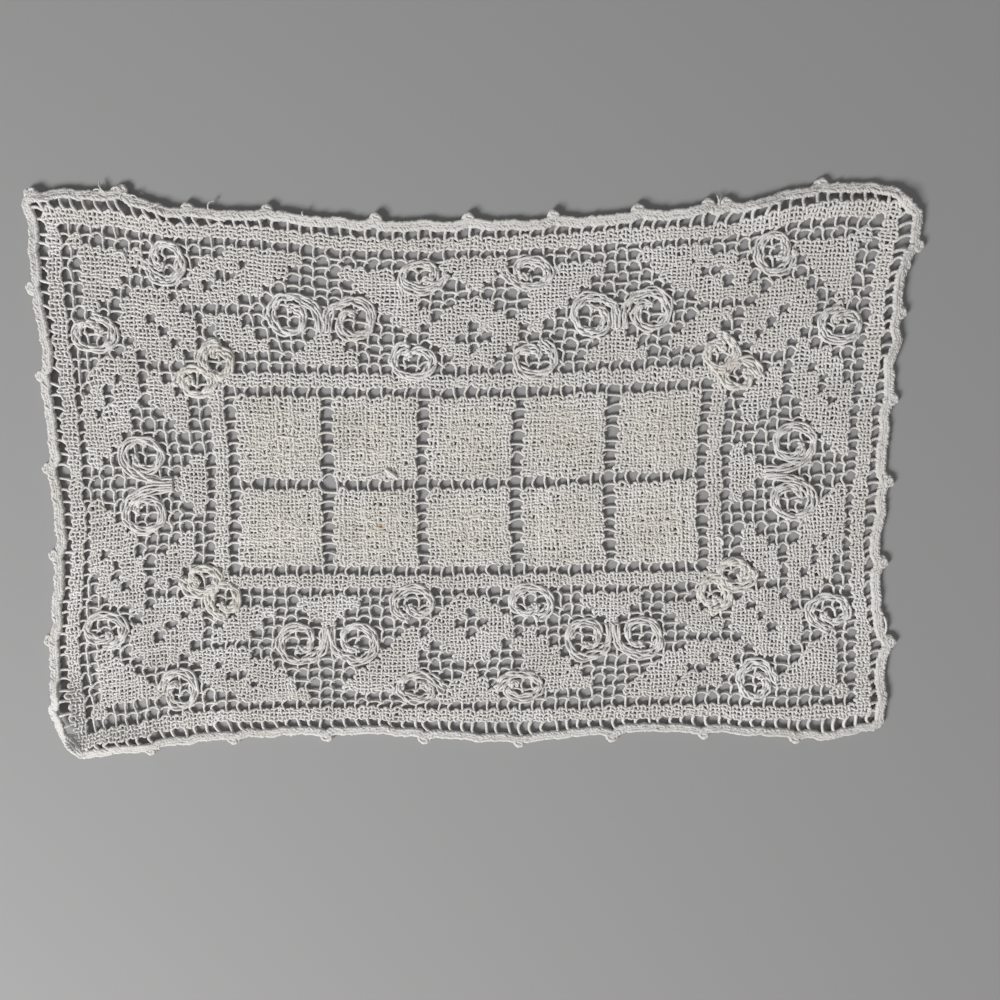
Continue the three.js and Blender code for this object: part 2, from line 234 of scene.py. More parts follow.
picots = {  # meshes along each side
    "far": [-0.7, 7.0, 12.6, 18.9, 27.1, 34.3, 41.15, 48.2, 53.9, 55.45, 63],
    "near": [7.4, 15, 23, 31.4, 39.5, 47.4, 55.2, 63.2],
    "left": [7, 13.8, 21.7, 28.7, 35.8],
    "right": [3.9, 9.6, 16.8, 24.3, 31.6, 38.65],
}


def rimLine(out):  # points, and the side and station of each
    over, down = 0.5 + out / net["meshWide"], 0.5 + out / net["meshHigh"]
    acrossCols = np.arange(-over, lastCol + over, rim["meshStep"])
    downRows = np.arange(-down, lastRow + down, rim["meshStep"])
    stretches = [("far", acrossCols, lay(acrossCols, -down)), ("right", downRows, lay(lastCol + over, downRows)),
                 ("near", acrossCols[::-1], lay(acrossCols[::-1], lastRow + down)),
                 ("left", downRows[::-1], lay(-over, downRows[::-1]))]
    points = np.concatenate([stretch[2] for stretch in stretches])
    sides = np.concatenate([[stretch[0]] * len(stretch[1]) for stretch in stretches])
    stations = np.concatenate([stretch[1] for stretch in stretches])
    return points, sides, stations


def evenly(points, pitch):  # a closed line at even steps, with its tangents, outward sides and lengths
    loop = np.concatenate([points, points[:1]])
    way = np.concatenate([[0], np.cumsum(np.linalg.norm(np.diff(loop, axis=0), axis=1))])
    count = int(round(way[-1] / pitch))
    at = np.arange(count) * way[-1] / count
    spots = np.column_stack([np.interp(at, way, loop[:, 0]), np.interp(at, way, loop[:, 1])])
    run = np.roll(spots, -1, 0) - np.roll(spots, 1, 0)
    run = run / np.linalg.norm(run, axis=1)[:, None]
    return spots, run, np.column_stack([-run[:, 1], run[:, 0]]), at


def rounded(points, length):  # running mean over a length of the closed line
    n = int(length / rim["step"]) | 1
    padded = np.concatenate([points[-n:], points, points[:n]])
    return np.column_stack([np.convolve(padded[:, k], np.ones(n) / n, "same")[n:-n] for k in (0, 1)])


def nearestOn(line, xy):
    return int(np.argmin(np.linalg.norm(line - xy, axis=1)))


def rimSpot(side, station):  # the rim's point nearest to a station of one side
    own = np.flatnonzero(rimSides == side)
    return nearestOn(rimMiddle, rimPoints[own[np.argmin(np.abs(rimStations[own] - station))]])


rimPoints, rimSides, rimStations = rimLine(rim["out"])
fine = evenly(rimPoints, rim["step"])[0]
rimMiddle = rounded(fine, rim["round"])
for corner in roundCorners:
    away = np.linalg.norm(fine - lay(*corner["at"]), axis=1)
    near = np.exp(-(away / corner["reach"]) ** 4)[:, None]
    rimMiddle = rimMiddle * (1 - near) + rounded(fine, corner["window"]) * near
for one in rimPulls:
    away = np.linalg.norm(fine - lay(*one["at"]), axis=1)
    rimMiddle = rimMiddle + np.exp(-(away / one["reach"]) ** 2)[:, None] * [one["x"], one["y"]]
for cut in rimCuts:
    first, last = nearestOn(rimMiddle, cut["from"]), nearestOn(rimMiddle, cut["to"])
    t = np.linspace(0, 1, last - first)[:, None]
    rimMiddle[first:last] = np.array(cut["from"]) * (1 - t) + np.array(cut["to"]) * t
rimMiddle, _, rimOut, rimAt = evenly(rounded(rimMiddle, rim["smooth"]), rim["step"])
picotSpots = [rimSpot(side, station) for side, stations in picots.items() for station in stations]
push = np.zeros(len(rimMiddle))
rimLength = rimAt[-1] + rim["step"]
for length, size in rim["waves"].items():
    turns = round(rimLength / length)
    push += size * np.sin(2 * math.pi * (turns * rimAt / rimLength + dice.random()))
for spot in picotSpots:
    away = np.linalg.norm(rimMiddle - rimMiddle[spot], axis=1)
    push += rim["bulge"] * np.exp(-(away / rim["bulgeReach"]) ** 2)
pushed = rimMiddle + rimOut * push[:, None]
rimMiddle, rimRun, rimOut, _ = evenly(pushed, rim["step"])
picotSpots = [nearestOn(rimMiddle, pushed[spot]) for spot in picotSpots]
print("rim:", round(rimLength), "mm with", len(picotSpots), "picots")

# darned meshes, charted for one quarter and mirrored; turned motifs also flip over the diagonal
motifs = listed(
    "name col row turned chart",
    ("corner leaf", 3, 3, False, ["#", " #####", " ####", " ###", " ##", " #"]),
    ("rose", 7, 7, False, [" ###", "#####", "## ###", "### ##", " ### #", "  ###"]),
    ("veined leaf", 12, 3, True, ["    ######", "  ### ###", " ##  ###", " # ####", "#####"]),
    ("slim leaf", 14, 9, True, ["###", " ###", "  ###"]),
    ("fan leaf", 21, 10, True, ["  #", " ###", "#####"]),
    ("long leaf", 25, 4, False, ["####", " ####", "  ####", "   ###", "    ###", "     #"]),
    ("bud", 33, 3, False, ["#####", " ###", "  #"]),
    ("flower", 32, 7, False, ["  ###", " #####", "### ###", "##   ##", " ## ##", "  ###"]))
panel = {"outerBand": 1, "innerBand": 14, "firstLine": 15, "every": 8, "creamSpread": 8}

col, row = np.meshgrid(np.arange(net["cols"]), np.arange(net["rows"]), indexing="ij")
inCol = np.minimum(col, lastCol - col)
inRow = np.minimum(row, lastRow - row)
ring = np.minimum(inCol, inRow)
bands = (ring == panel["outerBand"]) | (ring == panel["innerBand"])
onLine = ((inCol - panel["firstLine"]) % panel["every"] == 0) | ((inRow - panel["firstLine"]) % panel["every"] == 0)
squares = (ring >= panel["firstLine"]) & ~onLine
leaves = np.zeros_like(bands)
for motif in motifs:
    for down, line in enumerate(motif["chart"]):
        for over, mark in enumerate(line):
            if mark == "#":
                spots = [(motif["col"] + over, motif["row"] + down)]
                spots += [spots[0][::-1]] if motif["turned"] else []
                for c, r in spots:
                    leaves[[c, c, lastCol - c, lastCol - c], [r, lastRow - r, r, lastRow - r]] = True
leaves &= ~bands & ~squares
darned = bands | squares | leaves
print("charted:", ", ".join(motif["name"] for motif in motifs))
print("meshes darned:", int(darned.sum()), "of", darned.size)


def creamOf(c, r):  # the squares yellow towards their middles
    fc = np.minimum(c, lastCol - c)
    fr = np.minimum(r, lastRow - r)
    du = (fc - panel["firstLine"]) % panel["every"] - panel["every"] / 2
    dv = (fr - panel["firstLine"]) % panel["every"] - panel["every"] / 2
    inside = np.minimum(fc, fr) >= panel["firstLine"] - 0.5
    return np.where(inside, np.exp(-(du * du + dv * dv) / panel["creamSpread"]), 0)


# crossings: knots, bars between them, and the darning's crossings inside each mesh
slips = {  # how far the edging has slid along the net's outer knots
    "far": {"at": [0, 4, 9, 13, 20, 35, 45, 58, 66, 71], "by": [-1.6, -3.4, -3.6, -2.6, -0.4, 0.6, 2.2, 2.4, 0.5, 0]},
    "near": {"at": [0, 10, 30, 45, 58, 71], "by": [1.6, 2, 1.8, 1.2, 1.0, 0.3]},
    "left": {"at": [0, 15, 30, 47], "by": [0.6, 0.8, -0.4, -0.8]},
    "right": {"at": [0, 8, 20, 35, 47], "by": [1.2, 1.6, 0.3, 1.2, 1.0]},
}
creepShare = {1: 1, 2: 0.9, 3: 0.25}  # lines of the net that have crept, counted from the rim
creeps = {  # how far, mm: those on the left to the right, the others to the far side
    "left": {"at": [0, 2, 7, 9.3, 11.8, 14, 16.6, 19.3, 21.2, 23.4, 27.2, 29.8, 32.4, 35, 37.5, 40, 42, 47],
             "by": [0.8, 0.9, 1.2, 1.9, 2.3, 2.6, 3.0, 2.0, 2.1, 1.1, 2.9, 2.5, 2.0, 0.9, 1.4, 1.8, 1.8, 1.0]},
    "near": {"at": [0, 3, 6, 9, 14, 20, 23, 30, 34, 40, 71],
             "by": [-2.2, -2.4, -2.0, -0.6, 0, 0.8, 1.6, 1.6, 0.8, 0, 0]},
    "far": {"at": [0, 4, 12, 16, 20, 26, 33, 36, 42, 50, 54, 57, 59, 62, 65, 71],
            "by": [-0.6, -0.8, -0.6, 0, 0, 0.6, 0.6, -0.3, -0.7, -0.7, -1.6, -2.6, -2.4, -1.2, -0.5, 0]},
}
lineCol = np.arange(net["cols"] + 1)
lineRow = np.arange(net["rows"] + 1)
knots = lay(lineCol[:, None] - 0.5, lineRow[None, :] - 0.5)
knots = knots + dice.normal(0, net["knotJitter"], knots.shape)
for line, part in creepShare.items():
    knots[line, :, 0] += part * sideShift(creeps, "left", lineRow)
    knots[:, -1 - line, 1] += part * sideShift(creeps, "near", lineCol)
    knots[:, line, 1] += part * sideShift(creeps, "far", lineCol)
pinch = lambda lines, first: 1 - 2 * ((lines - first) % panel["every"]) / (panel["every"] - 1)
first = panel["firstLine"] + 1
inX, inY = slice(first, net["cols"] + 1 - first), slice(first, net["rows"] + 1 - first)
knots[inX, inY, 0] += net["drawnIn"][0] * pinch(lineCol[inX], first)[:, None]
knots[inX, inY, 1] -= net["drawnIn"][1] * pinch(lineRow[inY], first)[None, :]
knots[:, 0, 0] += sideShift(slips, "far", lineCol)
knots[:, -1, 0] += sideShift(slips, "near", lineCol)
knots[0, :, 1] += sideShift(slips, "left", lineRow)
knots[-1, :, 1] += sideShift(slips, "right", lineRow)

outer = np.zeros(knots.shape[:2], bool)
outer[[0, -1]] = outer[:, [0, -1]] = True
for c, r in np.argwhere(outer):  # the outer knots lie in the edging
    spot = nearestOn(rimMiddle, knots[c, r])
    knots[c, r] = rimMiddle[spot] - net["ringIn"] * rimOut[spot]

framed = np.pad(darned, 1, constant_values=True)
heldUp = framed[:-1, 1:-1].astype(int) + framed[1:, 1:-1]  # bars that run far to near
heldOver = framed[1:-1, :-1].astype(int) + framed[1:-1, 1:]  # bars that run left to right
byTurns = lambda a: np.where(np.add.outer(np.arange(a.shape[0]), np.arange(a.shape[1])) % 2, -1, 1)
share = np.array(net["held"])
bowUp = -net["bowUp"] - net["bowTurn"] * byTurns(heldUp) + dice.normal(0, net["bowJitter"], heldUp.shape)
bowOver = net["bowOver"] + net["bowTurn"] * byTurns(heldOver) + dice.normal(0, net["bowJitter"], heldOver.shape)
bowUp = bowUp * share[heldUp]
bowOver = bowOver * share[heldOver]

steps = 6  # points on a bar, two for each thread that crosses it in a darned mesh
t = np.arange(steps)[None, None, :, None] / steps
hump = lambda shape: 4 * t * (1 - t) * (1 + dice.normal(*net["bowLean"], shape)[..., None, None] * (1 - 2 * t))
barsUp = knots[:, :-1, None] * (1 - t) + knots[:, 1:, None] * t
barsUp = barsUp + (bowUp[..., None, None] * hump(bowUp.shape)) * np.array([1, 0])
barsOver = knots[:-1, :, None] * (1 - t) + knots[1:, :, None] * t
barsOver = barsOver + (bowOver[..., None, None] * hump(bowOver.shape)) * np.array([0, 1])

cross = np.zeros((3 * net["cols"] + 1, 3 * net["rows"] + 1, 2))
cross[::3, ::3] = knots
for a in (1, 2):
    cross[::3, a::3] = barsUp[:, :, 2 * a]
    cross[a::3, ::3] = barsOver[:, :, 2 * a]
for a in (1, 2):
    for b in (1, 2):
        u, v = a / 3, b / 3
        sides = (1 - v) * barsOver[:, :-1, 2 * a] + v * barsOver[:, 1:, 2 * a]
        sides = sides + (1 - u) * barsUp[:-1, :, 2 * b] + u * barsUp[1:, :, 2 * b]
        corners = (1 - u) * ((1 - v) * knots[:-1, :-1] + v * knots[:-1, 1:])
        corners = corners + u * ((1 - v) * knots[1:, :-1] + v * knots[1:, 1:])
        cross[a::3, b::3] = sides - corners
loose = np.ones(cross.shape[:2])  # knots and open bars stay as they are
loose[::3, ::3] = 0
for a in (1, 2):
    loose[::3, a::3] = heldUp > 0
    loose[a::3, ::3] = heldOver > 0
matted = creamOf(np.arange(cross.shape[0])[:, None] / 3 - 0.5, np.arange(cross.shape[1])[None, :] / 3 - 0.5)
cross = cross + dice.normal(0, net["crossJitter"], cross.shape) * (loose * (1 + net["matting"] * matted))[..., None]
for a in (1, 2):
    barsUp[:, :, 2 * a] = cross[::3, a::3]
    barsOver[:, :, 2 * a] = cross[a::3, ::3]

# crochet cotton, plied and matt, so the twist shows and the fuzz scatters light
cotton = {
    "white": "#e2dfdb",
    # darker end of the thread's tone and washing, which also carries the painted shade in the twist's grooves
    "shade": "#cecbc6",
    "cream": "#dcd4c2",
    "plyPitch": 1.5,  # mm from one twist to the next, coarser than life so that it shows
    "fuzz": 0.35,  # mm, size of the fibre noise
    "bump": 0.55,
    "bumpDepth": 0.12,  # mm
    "patch": 24,  # mm, size of the uneven washing
    # painted shade: the twist's grooves are coloured darker, following the ply relief of the bump
    "plyShade": 0.10,
    "toneShade": 0.14,  # how much one thread differs from the next
    "shadeRange": (0.25, 0.75),
    "stainHex": "#a8895a",
    "stains": listed("x y reach strength", (-45.6, -23.4, 2.3, 1.0), (118.1, 50.4, 9, 0.14)),  # mm
}


def mixColour(tree, share, first, second):
    # sockets 6 and 7 are the node's two colours, and output 2 is the mixed one
    return addNode(tree, "ShaderNodeMix", {0: share, 6: first, 7: second}, data_type="RGBA").outputs[2]


def makeCotton(name, white, roughness, plyDepth):
    material = bpy.data.materials.new(name)
    material.use_nodes = True
    tree = material.node_tree
    tree.nodes.clear()
    place = addNode(tree, "ShaderNodeTexCoord").outputs["Object"]
    marks = {label: addNode(tree, "ShaderNodeAttribute", attribute_name=label).outputs
             for label in ("along", "ringSide", "cream", "tone")}
    sides = addNode(tree, "ShaderNodeSeparateXYZ", {0: marks["ringSide"]["Vector"]}).outputs
    turn = reckon(tree, "MULTIPLY", marks["along"]["Fac"], 2 * math.pi / (cotton["plyPitch"] * mm))
    across = reckon(tree, "MULTIPLY", reckon(tree, "COSINE", turn), sides["Y"])
    ply = reckon(tree, "MULTIPLY_ADD", reckon(tree, "SINE", turn), sides["X"], across)
    fuzz = addNode(tree, "ShaderNodeTexNoise", {"Vector": place, "Scale": 1 / (cotton["fuzz"] * mm), "Detail": 3.0,
                   "Roughness": 0.6}).outputs["Fac"]
    relief = reckon(tree, "MULTIPLY_ADD", ply, plyDepth, fuzz)
    bump = addNode(tree, "ShaderNodeBump", {"Height": relief, "Strength": cotton["bump"],
                   "Distance": cotton["bumpDepth"] * mm})
    patch = addNode(tree, "ShaderNodeTexNoise", {"Vector": place, "Scale": 1 / (cotton["patch"] * mm),
                    "Detail": 2.0}).outputs["Fac"]
    # painted shade in the twist's grooves, added to the real uneven washing
    washingAndGrooveShade = reckon(tree, "MULTIPLY_ADD", ply, cotton["plyShade"], patch)
    toneWashAndGrooveShade = reckon(tree, "MULTIPLY_ADD", marks["tone"]["Fac"], cotton["toneShade"], washingAndGrooveShade)
    grey = addNode(tree, "ShaderNodeMapRange", {"Value": toneWashAndGrooveShade, "From Min": cotton["shadeRange"][0],
                   "From Max": cotton["shadeRange"][1]}).outputs[0]
    base = mixColour(tree, grey, hexColour(cotton["shade"]), hexColour(white))
    colour = mixColour(tree, marks["cream"]["Fac"], base, hexColour(cotton["cream"]))
    for stain in cotton["stains"]:
        spot = (stain["x"] * mm, stain["y"] * mm, net["threadHeight"] * mm)
        away = addNode(tree, "ShaderNodeVectorMath", {0: place, 1: spot}, operation="DISTANCE").outputs["Value"]
        fade = addNode(tree, "ShaderNodeMapRange", {"Value": away, "From Min": 0.0, "From Max": stain["reach"] * mm,
                       "To Min": stain["strength"], "To Max": 0.0}, interpolation_type="SMOOTHSTEP").outputs[0]
        colour = mixColour(tree, fade, colour, hexColour(cotton["stainHex"]))
    shader = addNode(tree, "ShaderNodeBsdfPrincipled", {"Base Color": colour, "Roughness": roughness,
                     "IOR": 1.53, "Specular IOR Level": 0.25, "Sheen Weight": 0.25, "Sheen Roughness": 0.5,
                     "Normal": bump.outputs[0]})
    addNode(tree, "ShaderNodeOutputMaterial", {"Surface": shader.outputs[0]})
    return material


netCotton = makeCotton("netCotton", cotton["white"], 0.82, 0.6)
darningCotton = makeCotton("darningCotton", "#dfdddb", 0.9, 0.45)
edgingCotton = makeCotton("edgingCotton", "#d7d5d2", 0.86, 0.5)


# one tree turns drawn paths into thread, another sets a short wrap of thread on each point
def newTree(name, inputs):
    tree = bpy.data.node_groups.new(name, "GeometryNodeTree")
    tree.interface.new_socket("Path", in_out="INPUT", socket_type="NodeSocketGeometry")
    made = {}
    for label, kind in inputs.items():
        made[label] = tree.interface.new_socket(label, in_out="INPUT", socket_type=kind).identifier
    tree.interface.new_socket("Thread", in_out="OUTPUT", socket_type="NodeSocketGeometry")
    return tree, addNode(tree, "NodeGroupInput"), made


def tubeOn(tree, curve, radius, sides):  # a round thread along a curve, marked for its twist
    way = addNode(tree, "GeometryNodeSplineParameter")
    marked = addNode(tree, "GeometryNodeStoreNamedAttribute", {"Geometry": curve, "Name": "along",
                     "Value": way.outputs["Length"]}, data_type="FLOAT", domain="POINT")
    circle = addNode(tree, "GeometryNodeCurvePrimitiveCircle", {"Resolution": sides, "Radius": 1.0})
    where = addNode(tree, "GeometryNodeInputPosition")
    edge = addNode(tree, "GeometryNodeStoreNamedAttribute", {"Geometry": circle.outputs[0], "Name": "ringSide",
                   "Value": where.outputs[0]}, data_type="FLOAT_VECTOR", domain="POINT")
    tube = addNode(tree, "GeometryNodeCurveToMesh", {"Curve": marked.outputs[0], "Profile Curve": edge.outputs[0],
                   "Scale": radius, "Fill Caps": True})
    return addNode(tree, "GeometryNodeSetShadeSmooth", {"Geometry": tube.outputs[0]}).outputs[0]


def closeTree(tree, geometry, material):
    whole = addNode(tree, "GeometryNodeRealizeInstances", {"Geometry": geometry})
    dressed = addNode(tree, "GeometryNodeSetMaterial", {"Geometry": whole.outputs[0], "Material": material})
    addNode(tree, "NodeGroupOutput", {"Thread": dressed.outputs[0]})


def threadTree(material):
    tree, given, names = newTree("thread of " + material.name,
                                 {"Thread width": "NodeSocketFloat", "Sides": "NodeSocketInt"})
    curve = addNode(tree, "GeometryNodeMeshToCurve", {"Mesh": given.outputs["Path"]})
    girth = addNode(tree, "GeometryNodeInputNamedAttribute", {"Name": "girth"}, data_type="FLOAT")
    half = reckon(tree, "MULTIPLY", given.outputs["Thread width"], 0.5)
    radius = reckon(tree, "MULTIPLY", girth.outputs[0], half)
    closeTree(tree, tubeOn(tree, curve.outputs[0], radius, given.outputs["Sides"]), material)
    return tree, names


def wrapTree(name, material, *wrap):  # wrap: start, top and end of a short thread, in mm
    tree, given, names = newTree(name, {"Thread width": "NodeSocketFloat", "Sides": "NodeSocketInt",
                                        "Steps": "NodeSocketInt"})
    half = reckon(tree, "MULTIPLY", given.outputs["Thread width"], 0.5)
    start, top, end = (tuple(mm * v for v in point) for point in wrap)
    arc = addNode(tree, "GeometryNodeCurveQuadraticBezier", {"Resolution": given.outputs["Steps"],
                  "Start": start, "Middle": top, "End": end})
    tube = tubeOn(tree, arc.outputs[0], half, given.outputs["Sides"])
    turn = addNode(tree, "GeometryNodeInputNamedAttribute", {"Name": "turn"}, data_type="FLOAT_VECTOR")
    girth = addNode(tree, "GeometryNodeInputNamedAttribute", {"Name": "girth"}, data_type="FLOAT")
    placed = addNode(tree, "GeometryNodeInstanceOnPoints", {"Points": given.outputs["Path"],
                     "Instance": tube, "Rotation": turn.outputs[0], "Scale": girth.outputs[0]})
    closeTree(tree, placed.outputs[0], material)
    return tree, names


def drawn(name, points, edges, marks):  # points in mm, loose or joined by lines, with their marks
    mesh = bpy.data.meshes.new(name)
    mesh.vertices.add(len(points))
    mesh.vertices.foreach_set("co", (np.asarray(points) * mm).astype(np.float32).ravel())
    if len(edges):
        mesh.edges.add(len(edges))
        mesh.edges.foreach_set("vertices", np.asarray(edges, np.int32).ravel())
    for label, values in marks.items():
        values = np.asarray(values, np.float32)
        kind, field = ("FLOAT_VECTOR", "vector") if values.ndim == 2 else ("FLOAT", "value")
        mesh.attributes.new(label, kind, "POINT").data.foreach_set(field, values.ravel())
    piece = bpy.data.objects.new(name, mesh)
    scene.collection.objects.link(piece)
    return piece


def grown(piece, tree, values):  # runs the tree and keeps its result as a plain mesh
    group, names = tree
    modifier = piece.modifiers.new("grow", "NODES")
    modifier.node_group = group
    for label, value in values.items():
        modifier[names[label]] = value
    graph = bpy.context.evaluated_depsgraph_get()
    mesh = bpy.data.meshes.new_from_object(piece.evaluated_get(graph))
    piece.modifiers.clear()
    piece.data = mesh
    mesh.name = piece.name
    mesh.calc_loop_triangles()
    print(piece.name, len(mesh.loop_triangles), "triangles")
    return piece


def threadPiece(name, tree, paths, width, sides):  # paths in mm, with one mark for all points or one for each
    points, edges, marks = [], [], {"girth": [], "cream": [], "tone": []}
    first = 0
    for path in paths:
        n = len(path["points"])
        points.append(path["points"])
        k = np.arange(n - 1)
        edges.append(first + np.column_stack([k, k + 1]))
        if path.get("closed"):
            edges.append([[first + n - 1, first]])
        for label, default in (("girth", 1.0), ("cream", 0.0), ("tone", 0.0)):
            marks[label].append(np.broadcast_to(path.get(label, default), n))
        first += n
    marks = {label: np.concatenate(values) for label, values in marks.items()}
    piece = drawn(name, np.concatenate(points), np.concatenate(edges), marks)
    return grown(piece, tree, {"Thread width": width * mm, "Sides": sides})


netThread = threadTree(netCotton)
darningThread = threadTree(darningCotton)
edgingThread = threadTree(edgingCotton)

# the net's own bars, whole lines at a time
parity = lambda i, j: np.where((i + j) % 2 == 0, 1.0, -1.0)


def netLines(bars, ends, heldBy, upright):
    paths = []
    lines = bars.shape[0] if upright else bars.shape[1]
    for n in range(1, lines - 1):
        body = bars[n] if upright else bars[:, n]
        end = ends[n, -1] if upright else ends[-1, n]
        held = heldBy[n] if upright else heldBy[:, n]
        xy = np.concatenate([body.reshape(-1, 2), end[None]])
        k = np.arange(len(xy))
        over = parity(3 * n, k // 2) * (-1 if upright else 1)  # every second point is a crossing
        woven = np.append(np.repeat(np.array(net["woven"])[held], steps), 0)
        rise = np.where(k % 2 == 0, over * net["weave"] * woven, 0)
        rise = np.where(k % steps == 0, over * net["knotRise"], rise)
        part = (k % steps) / steps
        rise = rise - (1 - woven) * net["sag"] * 4 * part * (1 - part)
        place = k / steps - 0.5
        level = np.full(len(k), n - 0.5)
        cream = creamOf(level, place) if upright else creamOf(place, level)
        girth = 1 + net["swell"] * (1 - woven) * np.cos(math.pi * part) ** 4
        girth = girth + dice.normal(0, net["girthJitter"], len(k))
        girth = np.where((k < steps) | (k > len(k) - 1 - steps), girth * net["ringGirth"], girth)
        paths.append({"points": stand(xy, rise), "cream": cream * net["cream"],
                      "tone": dice.normal(0, net["toneJitter"]), "girth": girth})
    return paths


lengthwiseNet = threadPiece("net_lengthwise", netThread, netLines(barsOver, knots, heldOver, False),
                            net["threadWidth"], net["sides"])
crosswiseNet = threadPiece("net_crosswise", netThread, netLines(barsUp, knots, heldUp, True),
                           net["threadWidth"], net["sides"])

# knots where open meshes meet
knot = {"reach": 0.7, "top": 1.25, "foot": -0.35, "width": 0.85, "steps": 2, "sides": 4, "turnJitter": 0.25,
        "girthJitter": 0.08}
near = framed[:-1, :-1].astype(int) + framed[1:, :-1] + framed[:-1, 1:] + framed[1:, 1:]
spots = np.argwhere(near[1:-1, 1:-1] < 2) + 1
xy = knots[spots[:, 0], spots[:, 1]]
knotTree = wrapTree("knot of net thread", netCotton, (-knot["reach"], -knot["reach"], knot["foot"]),
                    (0, 0, knot["top"]), (knot["reach"], knot["reach"], knot["foot"]))
turns = np.zeros((len(xy), 3))
turns[:, 2] = np.where(spots.sum(1) % 2, 0, math.pi / 2) + dice.normal(0, knot["turnJitter"], len(xy))
knotMarks = {"turn": turns, "girth": 1 + dice.normal(0, knot["girthJitter"], len(xy)),
             "tone": dice.normal(0, net["toneJitter"], len(xy)), "cream": np.zeros(len(xy))}
netKnots = grown(drawn("net_knots", stand(xy, 0), [], knotMarks), knotTree,
                 {"Thread width": knot["width"] * mm, "Sides": knot["sides"], "Steps": knot["steps"]})

# darning: two threads each way through a run of meshes, turning round the bar at its ends
darning = {"sides": 4, "sway": 0.17, "girthJitter": (0.07, 0.06), "matGirth": 0.2, "girthRange": (0.8, 1.34),
           "toneJitter": 0.6, "width": {"squares": 1.48, "leaves": 1.3, "bands": 1.4},
           "turnOut": {"squares": 0.48, "leaves": 0.85, "bands": 0.48},
           "cream": {"squares": 0.36, "leaves": 0, "bands": 0}}


def runsOf(mask):  # line, first and last mesh of each darned run
    for n in range(mask.shape[0]):
        k = 0
        while k < mask.shape[1]:
            if mask[n, k]:
                start = k
                while k + 1 < mask.shape[1] and mask[n, k + 1]:
                    k += 1
                yield n, start, k
            k += 1


def darnPath(grid, n, start, end, upright, turnOut):  # grid is indexed by line first, then along it
    i = np.arange(3 * start, 3 * end + 4)
    halves = []
    for line in (3 * n + 1, 3 * n + 2):
        xy = grid[line, i]
        over = parity(i, line) * (-1 if upright else 1) * net["weave"]
        full = np.zeros((2 * len(i) - 1, 3))
        full[::2, :2] = xy
        full[1::2, :2] = (xy[1:] + xy[:-1]) / 2 + dice.normal(0, darning["sway"], (len(i) - 1, 2))
        full[::2, 2] = over
        halves.append(full)
    go, back = halves
    turns = []
    for tip, inner in ((-1, -3), (0, 2)):
        out = (go[tip] - go[inner] + back[tip] - back[inner])[:2]
        out = out / np.linalg.norm(out) * turnOut
        near, far = go[tip], back[tip]
        pair = [0.75 * near + 0.25 * far, 0.25 * near + 0.75 * far]
        for point in pair:
            point[:2] += out
        turns.append(pair)
    right, left = turns
    whole = np.concatenate([go, right, back[::-1], left[::-1]])
    points = stand(whole[:, :2], whole[:, 2])
    place = np.concatenate([np.linspace(start - 0.5, end + 0.5, len(go)), [end + 0.5] * 2,
                            np.linspace(end + 0.5, start - 0.5, len(back)), [start - 0.5] * 2])
    return points, place


def darn(kind, mask):
    paths = []
    wholeJitter, pointJitter = darning["girthJitter"]
    for upright, cells, grid in ((False, mask.T, cross.transpose(1, 0, 2)), (True, mask, cross)):
        for n, start, end in runsOf(cells):
            points, place = darnPath(grid, n, start, end, upright, darning["turnOut"][kind])
            across = np.full(len(place), float(n))
            cream = creamOf(across, place) if upright else creamOf(place, across)
            girth = (1 + dice.normal(0, wholeJitter)) * (1 + dice.normal(0, pointJitter, len(place)))
            girth = np.clip(girth * (1 + darning["matGirth"] * cream), *darning["girthRange"])
            paths.append({"points": points, "closed": True, "tone": dice.normal(0, darning["toneJitter"]),
                          "cream": cream * darning["cream"][kind], "girth": girth})
    return threadPiece("darned_" + kind, darningThread, paths, darning["width"][kind], darning["sides"])


darnedSquares = darn("squares", squares)
darnedLeaves = darn("leaves", leaves)
darnedBands = darn("bands", bands)

# run scrolls: one thread there and back along a spiral, four passes side by side
scroll = {"sweep": 405, "turnIn": 0.58, "innerShare": 0.28, "width": 1.32, "sides": 5, "steps": 40,
          "passes": (-1.65, -0.55, 0.55, 1.65), "close": 0.3, "spread": 0.28, "spreadTurns": (1.5, 3),
          "wobble": 0.3, "wobbleTurns": (5, 9), "jitter": 0.22, "rise": 0.55, "wave": 0.5, "waveTurns": (8, 13),
          "stemRise": 13, "stemTurn": 5, "stemSteps": 12, "tailGap": 1.2, "tailSteps": 5,
          "toneJitter": (0.3, 0.4)}
scrolls = listed(  # a scroll has either a tail in mm or a stem from a foot
    "name col row halfCols halfRows start way turned tail foot cream girth",
    ("by corner leaf", 10.4, 4.1, 1.4, 1.6, 205, 1, True, 5, None, 0, 1),
    ("by panel corner", 14.2, 12.3, 1.2, 1.45, 100, 1, True, 3, None, 0.16, 1.22),
    ("on stem, outward", 20.5, 8.1, 1.5, 1.6, 60, 1, False, 0, (22.75, 9.6), 0, 1),
    ("on side stem", 7.1, 20.5, 1.6, 1.5, 210, -1, False, 0, (9.6, 22.75), 0, 1),
    ("on stem, inward", 25.4, 8.2, 1.5, 1.6, 120, -1, False, 0, (23.25, 9.6), 0, 1),
    ("by bud", 30.7, 4, 1.65, 1.15, -30, -1, False, 6, None, 0, 1),
    ("by long leaf", 30, 12, 1.65, 1.4, 120, 1, False, 3, None, 0, 1))
print("scrolls:", ", ".join(one["name"] for one in scrolls))


